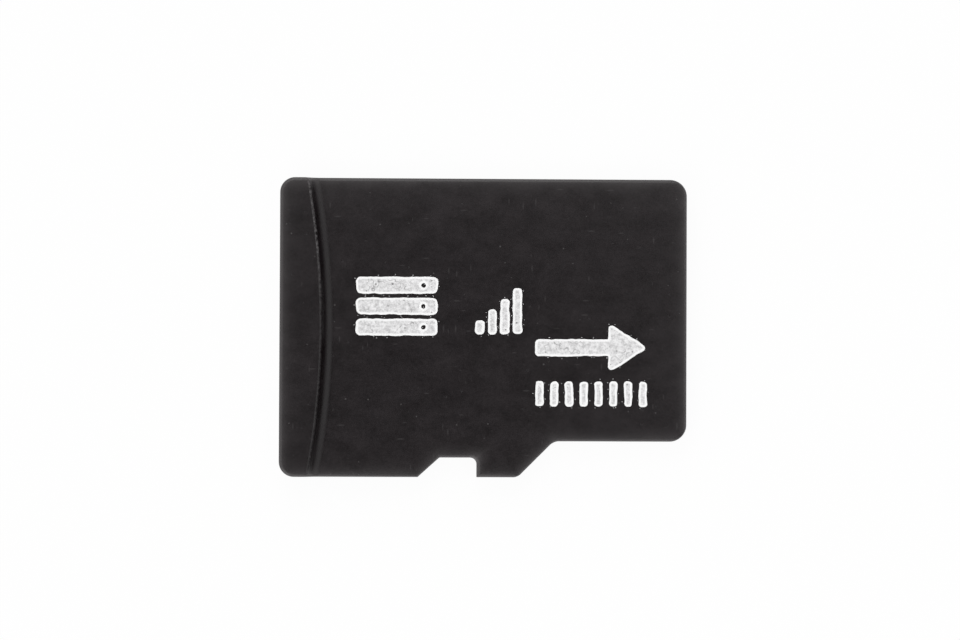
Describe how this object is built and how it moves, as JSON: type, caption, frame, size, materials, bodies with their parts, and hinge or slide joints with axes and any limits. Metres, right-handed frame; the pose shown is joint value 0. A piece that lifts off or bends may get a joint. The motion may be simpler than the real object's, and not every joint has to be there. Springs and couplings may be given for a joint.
{
  "type": "memory card",
  "caption": "Thin rectangular flash memory card with a raised finger lip, a latch notch, a stepped shoulder and a row of gold contacts on its underside.",
  "frame": {"origin": "middle of the card's 15 x 11 mm footprint, on its contact face", "axes": "+X towards the end that goes into the socket first, +Y towards the straight long edge, +Z out of the label face"},
  "size_m": [0.015, 0.011, 0.001],
  "materials": {
    "moulding_compound": "matte black moulded epoxy with fine pale filler specks and light scuffs",
    "board_laminate": "laminate with a black solder mask on its underside and a brown fibre edge",
    "contact_gold": "gold plating with fine rub marks",
    "silicon": "polished silicon",
    "die_film": "adhesive film",
    "wire_gold": "drawn gold wire",
    "chip_ceramic": "fired ceramic with tinned end caps",
    "solder": "reflowed solder",
    "print_ink": "white printed ink with ragged edges and pinholes"
  },
  "bodies": {
    "root": {"moulded_case": "moulding_compound", "circuit_board": "board_laminate", "contact_1": "contact_gold", "contact_2": "contact_gold", "contact_3": "contact_gold", "contact_4": "contact_gold", "contact_5": "contact_gold", "contact_6": "contact_gold", "contact_7": "contact_gold", "contact_8": "contact_gold", "bond_fingers": "contact_gold", "memory_die": "silicon", "memory_die_film": "die_film", "controller_die": "silicon", "controller_die_film": "die_film", "memory_bond_wires": "wire_gold", "controller_bond_wires": "wire_gold", "supply_capacitor": "chip_ceramic", "core_capacitor": "chip_ceramic", "bus_capacitor": "chip_ceramic", "pull_up_resistor": "chip_ceramic", "solder_joints": "solder"}
  },
  "joints": []
}
